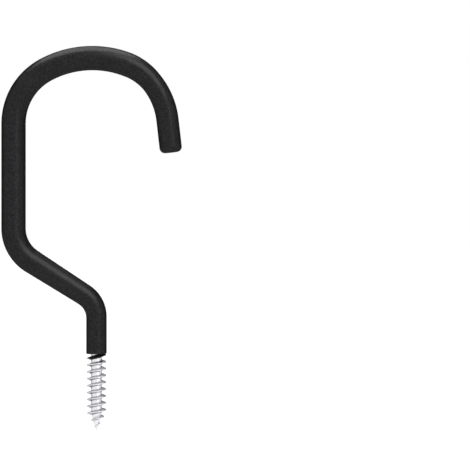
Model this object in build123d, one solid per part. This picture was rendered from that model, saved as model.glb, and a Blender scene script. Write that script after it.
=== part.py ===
from build123d import *
import os
from math import ceil, cos, pi, radians, sin, tan

# Bicycle storage hook: a bent steel rod with a wood-screw thread, dip-coated in black vinyl.
# Lengths are in millimetres and angles in degrees. The origin is on the screw's axis at the coat's
# cut end, where the face of the wood comes. +Z leaves the wood, +X points to the hook's open side,
# and the hook's centre line lies in the plane of X and Z.

# Rod
rod_diameter = 7.0
rod_end_chamfer = 0.8

# Centre line, from the screw round to the nose
shank_length = 15.0
kick_bend_radius = 11.0
kick_angle = 57.5
kick_length = 25.5
back_bend_radius = 16.0
back_length = 43.0
shoulder_radius = 25.0
shoulder_angle = 62.0
crown_radius = 40.5
crown_angle = 49.0
brow_radius = 23.5
brow_angle = 30.0
fore_radius = 30.0
fore_angle = 32.5
nose_length = 13.5

# Vinyl coat: thin on the shank, thicker along the kick, thick round the hook, thinner to the nose
shank_coat_thickness = 0.7
kick_coat_thickness = 1.0
hook_coat_thickness = 1.5
nose_coat_thickness = 1.1
nose_cap_thickness = 1.6
nose_edge_radius = 2.2
cut_edge_chamfer = 0.3

# Wood-screw thread, right-hand, nine turns to the inch as on a 5/16 inch lag screw
thread_length = 31.4
thread_major_diameter = 7.9
thread_depth = 1.8
thread_pitch = 2.82
thread_flank_angle = 40.0
thread_crest_width = 0.3
thread_lead_angle = 60.0
thread_start_gap = 0.04

# Gimlet point: core and ridge run down to it together, and its very tip is bare
gimlet_length = 7.2
gimlet_tip_diameter = 0.3
gimlet_bare_length = 0.9

# The ridge's foot is sunk in the core, so that the two fuse all round
ridge_sink = 0.3
points_per_turn = 8

# Inside the coat, the rod's bends are made of short straight lengths that turn by this much
hidden_bend_step = 20.0

rod_radius = rod_diameter / 2
crest_radius = thread_major_diameter / 2
core_radius = crest_radius - thread_depth
flank_slope = tan(radians(thread_flank_angle / 2))


def bend(before, radius, turn):
    """An arc that goes on from the stretch before it, to the left where turn is positive."""
    return JernArc(before @ 1, before % 1, radius, turn)


def run(before, length):
    """A straight stretch that goes on from the one before it."""
    return PolarLine(before @ 1, length, direction=before % 1)


# The centre line's stretches, drawn flat
shank = Line((0, 0), (0, shank_length))
kick_bend = bend(shank, kick_bend_radius, kick_angle)
kick = run(kick_bend, kick_length)
back_bend = bend(kick, back_bend_radius, -kick_angle)
back = run(back_bend, back_length)
shoulder = bend(back, shoulder_radius, -shoulder_angle)
crown = bend(shoulder, crown_radius, -crown_angle)
brow = bend(crown, brow_radius, -brow_angle)
fore = bend(brow, fore_radius, -fore_angle)
nose = run(fore, nose_length)
rod_nose = run(fore, nose_length - nose_cap_thickness)


def stand(stretch):
    """A stretch of the centre line, stood up in the hook's own plane."""
    return (Plane.XZ * stretch).edge()


def section(edge, place, radius):
    """Round section of a bar, square to its centre line."""
    return Plane(origin=edge @ place, x_dir=(0, 1, 0), z_dir=edge % place) * Circle(radius)


def bar(stretch, start_radius, end_radius):
    """Round bar along one stretch of the centre line, with true bends."""
    edge = stand(stretch)
    start = section(edge, 0, start_radius)
    if start_radius == end_radius:
        return sweep(start, path=edge)
    return sweep([start, section(edge, 1, end_radius)], path=edge, multisection=True)


def hidden_bar(stretch, radius):
    """Round bar along one stretch that the coat hides, where a bend is a few straight lengths."""
    edge = stand(stretch)
    turn = (edge % 0).get_angle(edge % 1)
    steps = max(1, ceil(turn / hidden_bend_step))
    return loft([section(edge, step / steps, radius) for step in range(steps + 1)], ruled=True)


def rim(solid, centre):
    """The round edge of a solid nearest to a point."""
    return solid.edges().filter_by(GeomType.CIRCLE).sort_by_distance(centre)[0]


def make_bent_rod():
    """The plain rod, bent, with the edge of its end inside the nose chamfered."""
    hook_arcs = (shoulder, crown, brow, fore)
    stretches = (shank, kick_bend, kick, back_bend, back, *hook_arcs, rod_nose)
    bars = [hidden_bar(stretch, rod_radius) for stretch in stretches]
    bars[-1] = chamfer(rim(bars[-1], stand(rod_nose) @ 1), rod_end_chamfer)
    return bars[0].fuse(*bars[1:])


def make_coat_body():
    """The coat's outside as a solid bar, with its cut end chamfered and its nose rounded."""
    shank_radius = rod_radius + shank_coat_thickness
    kick_radius = rod_radius + kick_coat_thickness
    hook_radius = rod_radius + hook_coat_thickness
    nose_radius = rod_radius + nose_coat_thickness
    bars = [
        bar(shank, shank_radius, shank_radius),
        bar(kick_bend, shank_radius, kick_radius),
        bar(kick, kick_radius, hook_radius),
        bar(back_bend, hook_radius, hook_radius),
        bar(back, hook_radius, hook_radius),
        bar(shoulder, hook_radius, hook_radius),
        bar(crown, hook_radius, hook_radius),
        bar(brow, hook_radius, nose_radius),
        bar(fore, nose_radius, nose_radius),
        bar(nose, nose_radius, nose_radius),
    ]
    cut_chamfer = min(cut_edge_chamfer, shank_coat_thickness / 2)
    bars[0] = chamfer(rim(bars[0], stand(shank) @ 0), cut_chamfer)
    bars[-1] = fillet(rim(bars[-1], stand(nose) @ 1), nose_edge_radius)
    return bars[0].fuse(*bars[1:])


# The thread's ridge starts just under the shank's shoulder, so that it stays out of the coat
ridge_rise_at_shank = thread_crest_width / 2 + max(0, crest_radius - rod_radius) * flank_slope
ridge_top = -ridge_rise_at_shank - thread_start_gap
ridge_turns = (thread_length - gimlet_bare_length + ridge_top) / thread_pitch
lead_turns = thread_lead_angle / 360


def gimlet_scale(height):
    """Share of the full section that the screw has at a height, falling to nothing at its tip."""
    return min(1, (height + thread_length) / gimlet_length)


def crest_corner(turn, side):
    """A corner of the ridge's crest, turn turns down the thread, below or above its middle."""
    height = ridge_top - thread_pitch * turn
    scale = gimlet_scale(height)
    risen = min(1, (turn + lead_turns) / lead_turns, (ridge_turns - turn) / lead_turns)
    buried_radius = core_radius - ridge_sink / 2
    radius = scale * (buried_radius + risen * (crest_radius - buried_radius))
    return corner(turn, radius, height + side * scale * thread_crest_width / 2)


def foot_corner(turn, side):
    """A corner of the ridge's foot inside the core, below or above its middle."""
    height = ridge_top - thread_pitch * turn
    scale = gimlet_scale(height)
    half_foot = thread_crest_width / 2 + (thread_depth + ridge_sink) * flank_slope
    return corner(turn, scale * (core_radius - ridge_sink), height + side * scale * half_foot)


def corner(turn, radius, height):
    """A point of a right-hand helix that goes down."""
    angle = -2 * pi * turn
    return Vector(radius * cos(angle), radius * sin(angle), height)


def helix_edge(corner_of, side, first, last):
    """One smooth edge of the ridge, between two places counted in turns."""
    steps = max(3, ceil((last - first) * points_per_turn))
    turns = [first + (last - first) * step / steps for step in range(steps + 1)]
    nudge = 1e-4
    tangents = [
        (corner_of(first + nudge, side) - corner_of(first, side)) / nudge,
        (corner_of(last, side) - corner_of(last - nudge, side)) / nudge,
    ]
    points = [corner_of(turn, side) for turn in turns]
    return Edge.make_spline(points, tangents=tangents, parameters=turns, scale=False)


def make_ridge():
    """The ridge of the thread: one closed solid, whose faces are at most a turn long."""
    gimlet_turn = (thread_length - gimlet_length + ridge_top) / thread_pitch
    marks = (-lead_turns, 0, gimlet_turn, ridge_turns - lead_turns, ridge_turns)
    corners = ((foot_corner, -1), (crest_corner, -1), (crest_corner, 1), (foot_corner, 1))
    faces = []
    for start, end in zip(marks, marks[1:]):
        pieces = ceil(end - start)
        for piece in range(pieces):
            first = start + (end - start) * piece / pieces
            last = start + (end - start) * (piece + 1) / pieces
            edges = [helix_edge(corner_of, side, first, last) for corner_of, side in corners]
            for index, edge in enumerate(edges):
                faces.append(Face.make_surface_from_curves(edge, edges[index - 1]))
    for turn in (marks[0], marks[-1]):
        outline = [corner_of(turn, side) for corner_of, side in corners]
        faces.append(Face(Wire.make_polygon(outline, close=True)))
    return Solid(Shell(faces))


def make_core():
    """The thread's core, from inside the shank down to the gimlet point."""
    outline = Polyline(
        (0, rod_radius),
        (core_radius, rod_radius),
        (core_radius, gimlet_length - thread_length),
        (gimlet_tip_diameter / 2, -thread_length),
        (0, -thread_length),
        close=True,
    )
    return revolve(Plane.XZ * make_face(outline), Axis.Z)


bent_rod = make_bent_rod()
steel_rod = bent_rod.fuse(make_core() + make_ridge())
vinyl_coating = make_coat_body() - bent_rod

os.makedirs("parts", exist_ok=True)
export_step(steel_rod, "parts/steel_rod.step")
export_step(vinyl_coating, "parts/vinyl_coating.step")
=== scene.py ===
import math

import bpy
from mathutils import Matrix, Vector


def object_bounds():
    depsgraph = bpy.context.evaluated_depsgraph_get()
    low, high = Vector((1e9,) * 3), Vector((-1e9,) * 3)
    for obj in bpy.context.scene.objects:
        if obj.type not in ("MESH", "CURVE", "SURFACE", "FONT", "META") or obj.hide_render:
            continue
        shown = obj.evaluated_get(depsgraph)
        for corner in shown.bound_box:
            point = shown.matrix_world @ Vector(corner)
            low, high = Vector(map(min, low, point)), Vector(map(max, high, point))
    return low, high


# A bicycle storage hook: a bent steel rod with a wood-screw thread, dip-coated in black vinyl.
# Lengths are in metres, in the part's own frame: +Z leaves the wood, +X is the hook's open side.
# The finishes work in millimetres, because their grain and marks are that small.
# Angles are in degrees.

MM = 0.001
WHITE = (1, 1, 1)
BLACK = (0, 0, 0)

# The picture's frame: square, with the hook in its left part
PICTURE_WIDTH = 192.7 * MM
PICTURE_CENTRE = Vector((56.8 * MM, 0, 48.75 * MM))
CAMERA_LENS = 200
CAMERA_SENSOR = 36
CAMERA_DISTANCE = PICTURE_WIDTH * CAMERA_LENS / CAMERA_SENSOR

# The floor, how much it is lifted to white in the picture, and the room's grey light
FLOOR_BELOW_TIP = 26 * MM
FLOOR_WIDTH = 30
FLOOR_PALE = (0.9, 0.9, 0.9)
FLOOR_LIFT = 0.33
ROOM_LIGHT = 0.05

# The dark cards behind the hook: how far off they hang, and how far round it they reach
CARD_BEHIND = 0.5
CARD_BLACK = (0.005, 0.005, 0.005)
CARD_SIDES = 48
DISC_SPREAD = 28
COLLAR_SPREAD = 80
COLLAR_GAP = 60

# Black vinyl, with the width and the depth of its marks in millimetres
VINYL_DARK = (0.007, 0.007, 0.0071)
VINYL_PALE = (0.027, 0.027, 0.0274)
VINYL_SPECK = (0.040, 0.040, 0.041)
VINYL_GRAIN_WIDTH = 0.3
VINYL_GRAIN_DEPTH = 0.03
VINYL_MOTTLE_WIDTH = 0.75
VINYL_WAVE_WIDTH = 2.6
VINYL_WAVE_DEPTH = 0.05
VINYL_PATCH_WIDTH = 9.0

# Zinc plating, in the same way. The marks of rolling are drawn out round the thread.
ZINC_GREY = (0.68, 0.675, 0.70)
ZINC_BRIGHT = (0.88, 0.875, 0.90)
# The crests are painted lighter than the core of the thread: a painted highlight.
ZINC_PAINTED_CREST_HIGHLIGHT = (0.86, 0.855, 0.88)
# The metal's reflection at grazing angles is darkened by this tint: painted shade along the
# thread's outline.
ZINC_PAINTED_EDGE_SHADE = (0.45, 0.45, 0.45)
ZINC_CRYSTAL_WIDTH = 0.5
ZINC_CRYSTAL_DEPTH = 0.02
ZINC_DULL_WIDTH = 2.2
ROLLING_MARK_WIDTH = 0.6
ROLLING_MARK_DEPTH = 0.03
ROLLING_MARK_ALONG = 0.35
ROLLING_MARK_ACROSS = 3.0

# The thread in millimetres, as the steel rod has it. Its turns are counted down from +X, and the
# count starts a quarter of a turn before that, ahead of the ridge.
THREAD_PITCH = 2.82
THREAD_CORE_RADIUS = 2.15
THREAD_CREST_RADIUS = 3.95
FIRST_TURN_HEIGHT = -0.354
COUNT_STARTS_BEFORE = 0.25

# The coat's black film on the thread. It fades out between two places, counted in turns, and the
# rest is in millimetres: half its width over the ridge, its soft edge, and how that edge is torn.
FILM_BLACK = (0.006, 0.006, 0.007)
FILM_FULL_TO = 0.36
FILM_ENDS = 0.56
FILM_HALF_WIDTH = 0.78
FILM_EDGE = 0.12
FILM_TEAR_DEPTH = 0.14
FILM_TEAR_WIDTH = 0.8

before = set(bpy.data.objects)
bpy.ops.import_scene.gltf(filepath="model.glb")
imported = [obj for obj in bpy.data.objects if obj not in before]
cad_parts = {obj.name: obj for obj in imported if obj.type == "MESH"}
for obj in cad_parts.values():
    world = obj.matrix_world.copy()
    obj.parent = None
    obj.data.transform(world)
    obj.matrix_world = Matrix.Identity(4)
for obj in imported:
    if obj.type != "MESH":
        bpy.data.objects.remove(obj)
cad_low, cad_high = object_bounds()


class Number:
    """A number from a shader node. Sums with it add Math nodes to its finish."""

    def __init__(self, finish, socket):
        self.finish = finish
        self.socket = socket

    def __add__(self, other):
        return self.finish.maths("ADD", self, other)

    def __radd__(self, other):
        return self.finish.maths("ADD", other, self)

    def __sub__(self, other):
        return self.finish.maths("SUBTRACT", self, other)

    def __rsub__(self, other):
        return self.finish.maths("SUBTRACT", other, self)

    def __mul__(self, other):
        return self.finish.maths("MULTIPLY", self, other)

    def __rmul__(self, other):
        return self.finish.maths("MULTIPLY", other, self)

    def __abs__(self):
        return self.finish.maths("ABSOLUTE", self)


class Finish:
    """The nodes of a material or of the world."""

    def __init__(self, owner):
        owner.use_nodes = True
        self.owner = owner
        self.tree = owner.node_tree
        self.tree.nodes.clear()

    def node(self, kind, settings=None, sockets=None, output=0):
        """A new node: its settings first, then the values or links of its sockets."""
        made = self.tree.nodes.new(kind)
        for name, value in (settings or {}).items():
            setattr(made, name, value)
        for name, value in (sockets or {}).items():
            socket = made.inputs[name]
            if isinstance(value, Number):
                self.tree.links.new(value.socket, socket)
            elif socket.type == "RGBA":
                socket.default_value = (*value, 1)
            else:
                socket.default_value = value
        return Number(self, made.outputs[output]) if made.outputs else None

    def maths(self, operation, *values):
        """A Math node on numbers."""
        return self.node("ShaderNodeMath", {"operation": operation}, dict(enumerate(values)))

    def rise(self, value, low, high):
        """0 below low, 1 above high and a smooth rise between them."""
        sockets = {"Value": value, "From Min": low, "From Max": high}
        return self.node("ShaderNodeMapRange", {"interpolation_type": "SMOOTHSTEP"}, sockets)

    def fall(self, value, low, high):
        """1 below low, 0 above high and a smooth fall between them."""
        return 1 - self.rise(value, low, high)

    def tint(self, share, first, second):
        """A colour between two colours, with so much of the second."""
        return self.node("ShaderNodeMix", {"data_type": "RGBA"}, {0: share, 6: first, 7: second}, 2)

    def scaled(self, place, x, y, z):
        """A place with its coordinates multiplied."""
        sockets = {0: place, 1: (x, y, z)}
        return self.node("ShaderNodeVectorMath", {"operation": "MULTIPLY"}, sockets)

    def millimetres(self):
        """Where a point of the surface is, in millimetres of the part's frame."""
        metres = self.node("ShaderNodeTexCoord", output="Object")
        return self.scaled(metres, 1 / MM, 1 / MM, 1 / MM)

    def coordinates(self, place):
        """The three coordinates of a place, as numbers."""
        separate = self.node("ShaderNodeSeparateXYZ", sockets={0: place}).socket.node
        return [Number(self, socket) for socket in separate.outputs]

    def clouds(self, place, width, detail=2.0, roughness=0.5):
        """Soft noise round one half, with patches about width wide."""
        sockets = {"Vector": place, "Scale": 1 / width, "Detail": detail, "Roughness": roughness}
        return self.node("ShaderNodeTexNoise", sockets=sockets)

    def bump(self, height, depth, below=None):
        """A surface normal from heights of 0 to 1, for relief that is depth millimetres deep."""
        sockets = {"Height": height, "Strength": 1.0, "Distance": depth * MM}
        if below is not None:
            sockets["Normal"] = below
        return self.node("ShaderNodeBump", sockets=sockets)

    def seen(self):
        """1 where it is looked at, straight, mirrored or through something, and 0 as a light."""
        straight = self.node("ShaderNodeLightPath", output="Is Camera Ray")
        mirrored = self.node("ShaderNodeLightPath", output="Is Glossy Ray")
        through = self.node("ShaderNodeLightPath", output="Is Transmission Ray")
        return straight + mirrored + through

    def surface(self, **sockets):
        """The finish's own shader. A name's underscores stand for spaces."""
        named = {name.replace("_", " "): value for name, value in sockets.items()}
        shader = self.node("ShaderNodeBsdfPrincipled", sockets=named)
        self.node("ShaderNodeOutputMaterial", sockets={"Surface": shader})


def black_vinyl():
    """Soft black vinyl from a dip tank: matte, with a fine grain and a slight waviness."""
    finish = Finish(bpy.data.materials.new("black_vinyl"))
    place = finish.millimetres()
    grain = finish.clouds(place, VINYL_GRAIN_WIDTH, detail=3.0, roughness=0.6)
    mottle = finish.clouds(place, VINYL_MOTTLE_WIDTH, roughness=0.6)
    mottle = finish.rise(mottle, low=0.3, high=0.7)
    waves = finish.clouds(place, VINYL_WAVE_WIDTH, detail=1.0)
    patches = finish.clouds(place, VINYL_PATCH_WIDTH, detail=3.0)
    specks = finish.rise(grain, low=0.62, high=0.74)

    shade = mottle * 0.7 + patches * 0.3
    colour = finish.tint(shade, VINYL_DARK, VINYL_PALE)
    colour = finish.tint(specks * 0.35, colour, VINYL_SPECK)
    relief = finish.bump(waves, VINYL_WAVE_DEPTH)
    relief = finish.bump(grain, VINYL_GRAIN_DEPTH, below=relief)
    finish.surface(
        Base_Color=colour,
        Roughness=0.46 + patches * 0.10 + mottle * 0.08,
        Specular_IOR_Level=0.0,
        Coat_Weight=0.04,
        Coat_IOR=2.5,
        Coat_Roughness=0.28,
        Normal=relief,
    )
    return finish.owner


def zinc_plated_steel():
    """Bright zinc plating over a rolled thread, with the coat's black film on its first turn."""
    finish = Finish(bpy.data.materials.new("zinc_plated_steel"))
    place = finish.millimetres()
    x, y, z = finish.coordinates(place)
    around = finish.maths("ARCTAN2", y, x)
    radius = finish.maths("SQRT", x * x + y * y)
    counted = finish.maths("FRACT", COUNT_STARTS_BEFORE - around * (1 / math.tau))
    turn = counted - COUNT_STARTS_BEFORE
    ridge_height = FIRST_TURN_HEIGHT - turn * THREAD_PITCH

    crystals = finish.clouds(place, ZINC_CRYSTAL_WIDTH, detail=4.0, roughness=0.65)
    dull = finish.clouds(place, ZINC_DULL_WIDTH)
    drawn_out = (ROLLING_MARK_ALONG, ROLLING_MARK_ALONG, ROLLING_MARK_ACROSS)
    rolled = finish.clouds(finish.scaled(place, *drawn_out), ROLLING_MARK_WIDTH, detail=3.0)
    up_the_ridge = finish.rise(radius, THREAD_CORE_RADIUS, THREAD_CREST_RADIUS)
    zinc = finish.tint(crystals, ZINC_GREY, ZINC_BRIGHT)
    # Painted highlight: the zinc is painted lighter towards the thread's crests.
    zinc = finish.tint(up_the_ridge * 0.3, zinc, ZINC_PAINTED_CREST_HIGHLIGHT)

    torn = (finish.clouds(place, FILM_TEAR_WIDTH, detail=3.0) - 0.5) * FILM_TEAR_DEPTH
    off_the_ridge = abs(z - ridge_height) + torn
    along = finish.fall(turn + torn, FILM_FULL_TO, FILM_ENDS)
    across = finish.fall(off_the_ridge, FILM_HALF_WIDTH, FILM_HALF_WIDTH + FILM_EDGE)
    film = along * across

    relief = finish.bump(rolled, ROLLING_MARK_DEPTH)
    relief = finish.bump(crystals, ZINC_CRYSTAL_DEPTH, below=relief)
    finish.surface(
        Base_Color=finish.tint(film, zinc, FILM_BLACK),
        Metallic=1 - film,
        Specular_IOR_Level=0.1,
        # Painted shade: the tint darkens the zinc's reflection at grazing angles, along the
        # thread's outline.
        Specular_Tint=ZINC_PAINTED_EDGE_SHADE,
        Roughness=0.28 + dull * 0.10 + film * 0.3,
        Normal=relief,
    )
    return finish.owner


def pale_floor():
    """Plain white floor that keeps the hook's shadow and is lifted to white in the picture."""
    finish = Finish(bpy.data.materials.new("pale_floor"))
    finish.surface(
        Base_Color=FLOOR_PALE,
        Roughness=0.9,
        Specular_IOR_Level=0.0,
        Emission_Color=finish.tint(finish.seen(), BLACK, WHITE),
        Emission_Strength=FLOOR_LIFT,
    )
    return finish.owner


def dark_card():
    """Plain black card."""
    finish = Finish(bpy.data.materials.new("dark_card"))
    finish.surface(Base_Color=CARD_BLACK, Roughness=1.0, Specular_IOR_Level=0.0)
    return finish.owner


def white_room():
    """White where it is seen, and a dim grey light on everything else."""
    room = bpy.data.worlds.new("white_room")
    finish = Finish(room)
    strength = ROOM_LIGHT + finish.seen() * (1 - ROOM_LIGHT)
    light = finish.node("ShaderNodeBackground", sockets={"Color": WHITE, "Strength": strength})
    finish.node("ShaderNodeOutputWorld", sockets={"Surface": light})
    bpy.context.scene.world = room


def studio_piece(name, corners, faces, material, place):
    """A plain piece of the studio, which is no part of the hook."""
    mesh = bpy.data.meshes.new(name)
    mesh.from_pydata(corners, [], faces)
    mesh.materials.append(material)
    piece = bpy.data.objects.new(name, mesh)
    piece.location = place
    bpy.context.scene.collection.objects.link(piece)
    return piece


def lay_floor():
    """The floor, a little below the screw's point."""
    half = FLOOR_WIDTH / 2
    corners = [(-half, -half, 0), (half, -half, 0), (half, half, 0), (-half, half, 0)]
    place = (0, 0, cad_low.z - FLOOR_BELOW_TIP)
    studio_piece("floor", corners, [(0, 1, 2, 3)], pale_floor(), place)


def hang_dark_ring(name, material, inner, outer, gap):
    """A black ring between two angles off the hook's back, with a gap at its top."""
    corners = []
    for spread in (inner, outer):
        radius = CARD_BEHIND * math.tan(math.radians(spread))
        for step in range(CARD_SIDES + 1):
            angle = math.radians(90 + gap / 2 + (360 - gap) * step / CARD_SIDES)
            corners.append((radius * math.cos(angle), 0, radius * math.sin(angle)))
    second = CARD_SIDES + 1
    faces = [(step, step + 1, second + step + 1, second + step) for step in range(CARD_SIDES)]
    place = (0, CARD_BEHIND, (cad_low.z + cad_high.z) / 2)
    ring = studio_piece(name, corners, faces, material, place)
    ring.visible_camera = False
    ring.visible_shadow = False
    ring.visible_diffuse = False
    ring.visible_transmission = False


def hang_dark_cards():
    """A black disc behind the hook, and a collar round the disc. Only gloss shows them."""
    black = dark_card()
    hang_dark_ring("dark_disc", black, inner=0, outer=DISC_SPREAD, gap=0)
    hang_dark_ring("dark_collar", black, inner=DISC_SPREAD, outer=COLLAR_SPREAD, gap=COLLAR_GAP)


def soft_lamp(name, comes_from, strength, softness):
    """Even soft light from one direction. Its softness is the angle that it fills."""
    lamp = bpy.data.lights.new(name, "SUN")
    lamp.energy = strength
    lamp.angle = math.radians(softness)
    light = bpy.data.objects.new(name, lamp)
    light.rotation_euler = (-Vector(comes_from)).to_track_quat("-Z", "Y").to_euler()
    light.visible_camera = False
    bpy.context.scene.collection.objects.link(light)
    return light


def shading_lamp(name, comes_from, strength, softness):
    """Soft light that shades both pieces and puts no highlight on them."""
    light = soft_lamp(name, comes_from, strength, softness)
    light.visible_glossy = False


def sheen_lamp(name, comes_from, strength, softness, only_on=None):
    """Soft light that is only seen as a highlight, on one piece or on both."""
    light = soft_lamp(name, comes_from, strength, softness)
    light.visible_diffuse = False
    if only_on:
        lit = bpy.data.collections.new(name + "_lights")
        lit.objects.link(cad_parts[only_on])
        light.light_linking.receiver_collection = lit


def light_hook():
    """Shading from above, the front and the back, and highlights on the coat and the thread."""
    coat = "vinyl_coating"
    shading_lamp("lamp_above", (0.1, -0.05, 1.0), strength=1.9, softness=20)
    shading_lamp("lamp_front", (0.0, -1.0, 0.3), strength=1.5, softness=20)
    shading_lamp("lamp_back", (-0.3, 1.0, 0.3), strength=1.1, softness=60)
    sheen_lamp("sheen_above", (-0.12, 0.2, 0.95), strength=9.6, softness=65, only_on=coat)
    sheen_lamp("sheen_right", (0.45, -0.65, 0.7), strength=3.0, softness=45, only_on=coat)
    sheen_lamp("sheen_front", (0.6, -0.8, 0.05), strength=0.34, softness=25)


def place_camera():
    """Straight at the hook's flat side, level, from far enough for little perspective."""
    data = bpy.data.cameras.new("camera")
    data.lens = CAMERA_LENS
    data.sensor_width = CAMERA_SENSOR
    camera = bpy.data.objects.new("camera", data)
    camera.location = PICTURE_CENTRE - Vector((0, CAMERA_DISTANCE, 0))
    camera.rotation_euler = (math.radians(90), 0, 0)
    bpy.context.scene.collection.objects.link(camera)
    bpy.context.scene.camera = camera


def dress(node, material):
    """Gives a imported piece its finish."""
    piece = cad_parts[node]
    piece.data.materials.clear()
    piece.data.materials.append(material)


bpy.context.scene.view_settings.view_transform = "Standard"
dress("steel_rod", zinc_plated_steel())
dress("vinyl_coating", black_vinyl())
white_room()
lay_floor()
light_hook()
hang_dark_cards()
place_camera()
